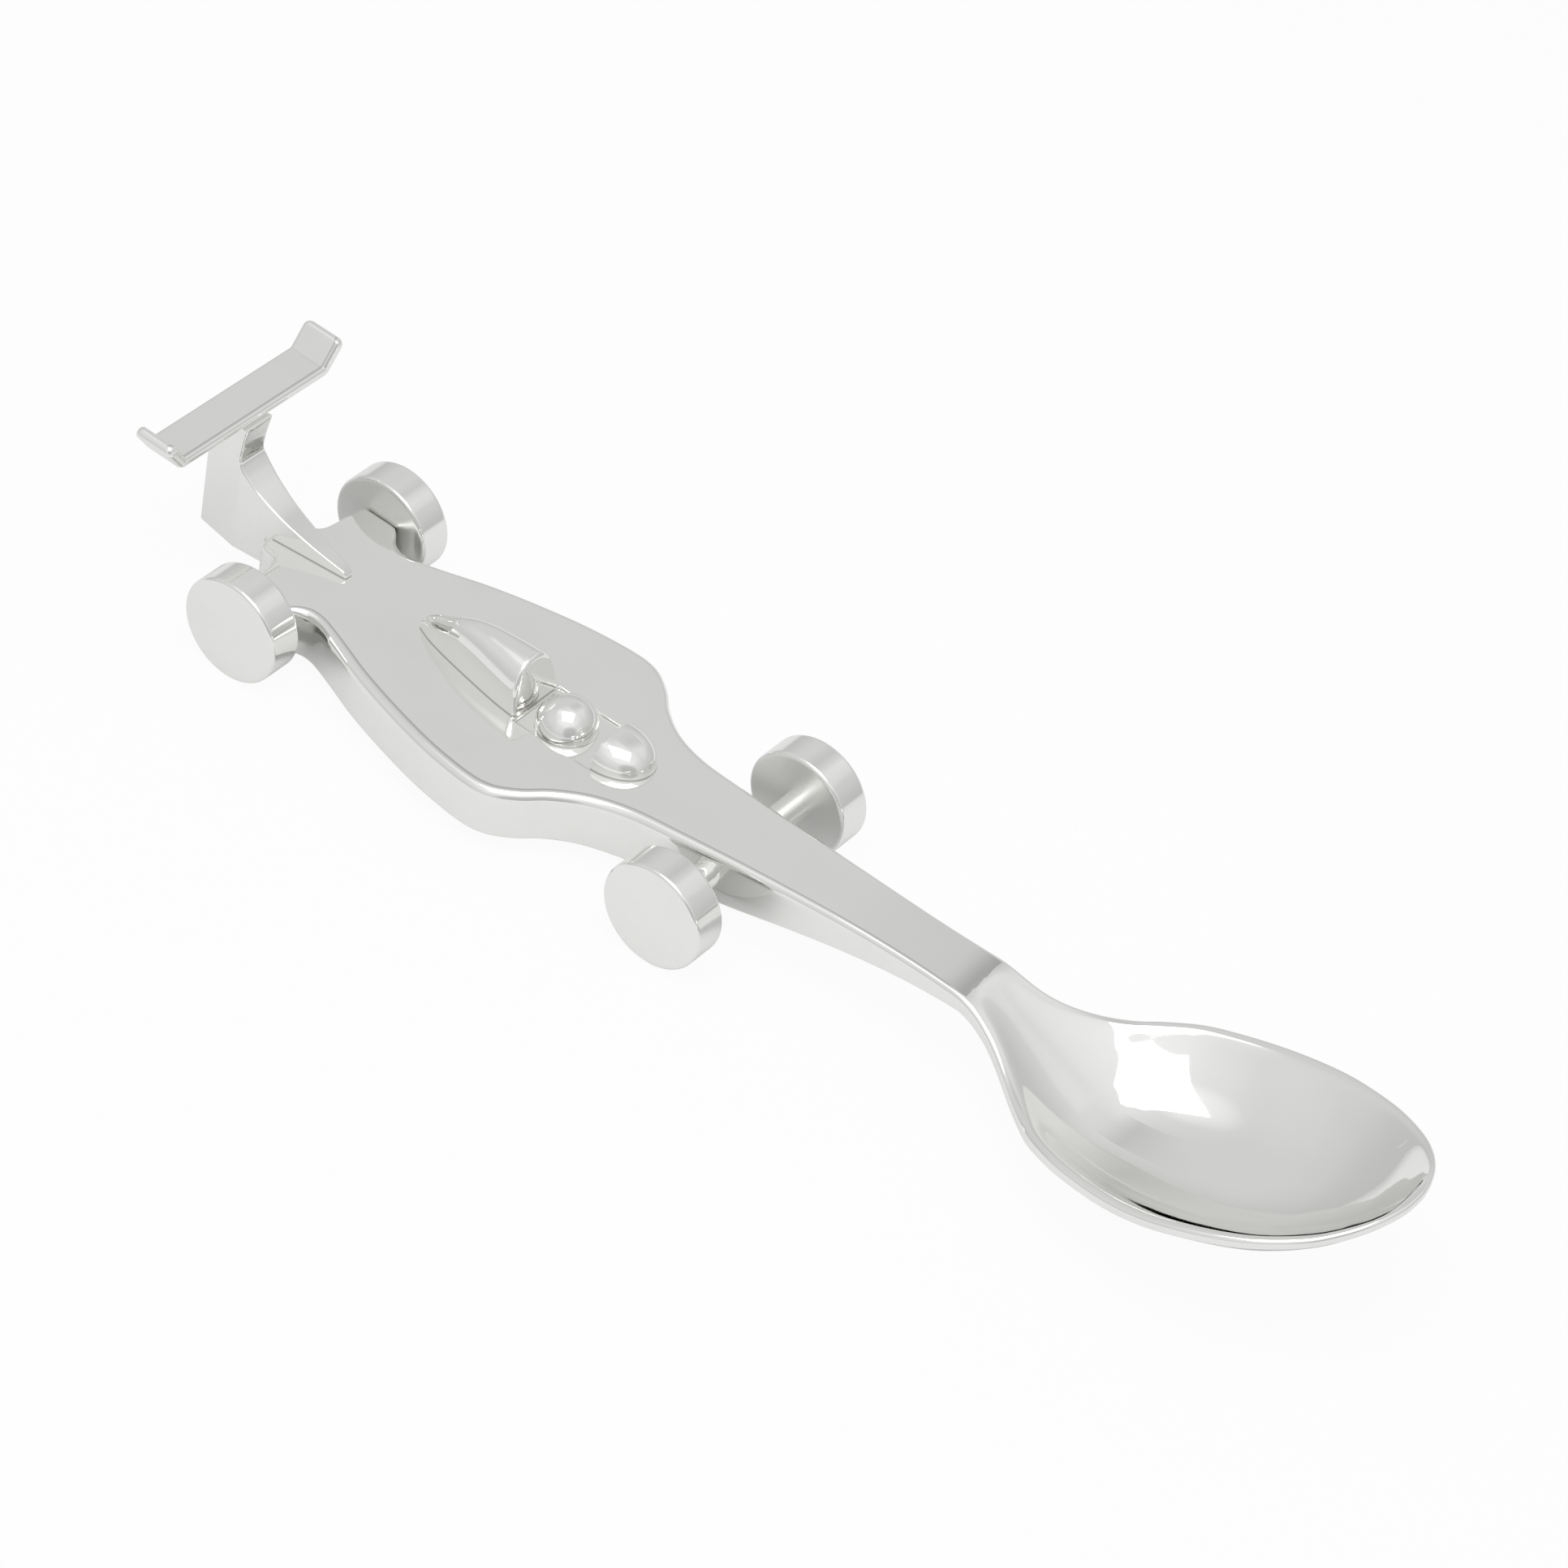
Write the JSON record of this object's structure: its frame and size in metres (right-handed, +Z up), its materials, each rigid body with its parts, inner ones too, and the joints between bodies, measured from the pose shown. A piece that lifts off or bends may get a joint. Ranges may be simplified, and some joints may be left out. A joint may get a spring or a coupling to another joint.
{
  "type": "baby spoon",
  "caption": "Polished baby spoon with an oval bowl on a slim neck; its handle is a small racing car with a finned rear wing, a helmet in the cockpit and wheelsets that turn.",
  "frame": {"origin": "middle of the bounding box in plan, on the plane the wheels stand on", "axes": "+X from the tail to the bowl tip, +Y to the car's left, +Z up"},
  "size_m": [0.141, 0.0278, 0.0219],
  "materials": {
    "silver_body": "mirror-polished silver plate with faint hand-polishing waves",
    "silver_fittings": "mirror-polished silver plate",
    "silver_wheels": "mirror-polished silver plate, plain flat faces"
  },
  "bodies": {
    "spoon": {"spoon_body": "silver_body", "headrest_fairing": "silver_body", "driver_helmet": "silver_fittings", "cockpit_cowl": "silver_fittings", "wing_pylon": "silver_body", "rear_wing": "silver_body"},
    "front_wheelset": {"front_axle": "silver_fittings", "front_right_wheel": "silver_wheels", "front_left_wheel": "silver_wheels"},
    "rear_wheelset": {"rear_axle": "silver_fittings", "rear_right_wheel": "silver_wheels", "rear_left_wheel": "silver_wheels"}
  },
  "joints": [
    {"name": "front_wheelset_spin", "type": "hinge", "parent": "spoon", "child": "front_wheelset", "pos_m": [-0.0044, 0, 0.00561], "axis": [0, 1, 0], "continuous": true},
    {"name": "rear_wheelset_spin", "type": "hinge", "parent": "spoon", "child": "rear_wheelset", "pos_m": [-0.0564, 0, 0.00561], "axis": [0, 1, 0], "continuous": true}
  ]
}
